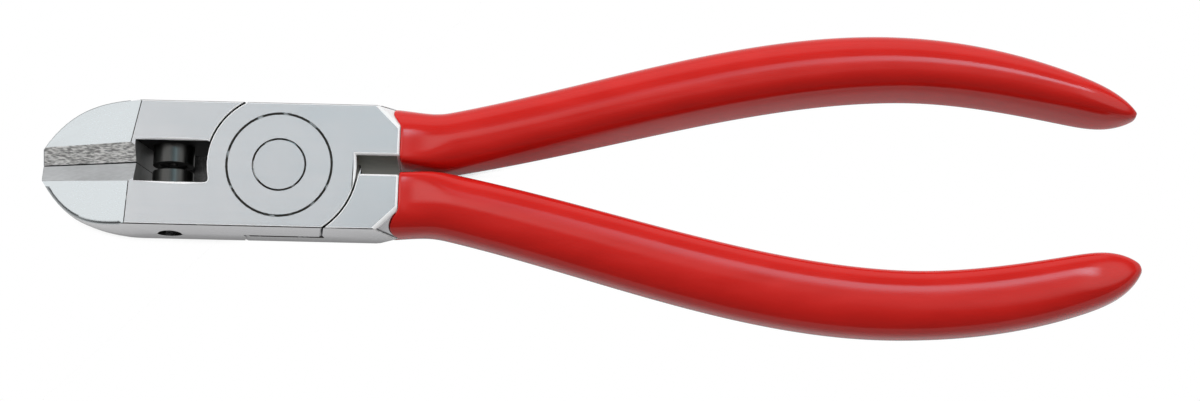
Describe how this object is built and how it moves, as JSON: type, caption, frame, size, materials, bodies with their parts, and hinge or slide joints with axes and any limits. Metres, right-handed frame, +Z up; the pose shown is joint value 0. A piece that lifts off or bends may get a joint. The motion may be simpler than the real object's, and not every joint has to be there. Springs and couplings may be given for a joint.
{
  "type": "seal pliers",
  "caption": "Seal pliers with a wire cutter at the nose, a window with facing stamping dies behind it, a riveted lap joint and red dip-coated bow handles.",
  "frame": {"origin": "on the pivot axis, at the underside of the head that lies on the table", "axes": "+X along the tool towards the ends of the handles, +Y towards the upper jaw in the closed tool, +Z up along the pivot axis"},
  "size_m": [0.1598, 0.0451, 0.0095],
  "materials": {
    "polished_steel": "ground and polished",
    "rivet_steel": "ground flush with the cheeks",
    "die_steel": "hardened and blackened",
    "screw_steel": "blackened",
    "red_coat": "glossy dip coat"
  },
  "bodies": {
    "bottom_half": {"bottom_lap_lever": "polished_steel", "pivot_rivet": "rivet_steel", "upper_seal_die": "die_steel", "upper_die_screw": "screw_steel", "lower_grip": "red_coat"},
    "top_half": {"top_lap_lever": "polished_steel", "lower_seal_die": "die_steel", "lower_die_screw": "screw_steel", "upper_grip": "red_coat"}
  },
  "joints": [
    {"name": "lap_hinge", "type": "hinge", "parent": "bottom_half", "child": "top_half", "pos_m": [0, 0, 0.00475], "axis": [0, 0, 1], "range_deg": [0, 35]}
  ]
}
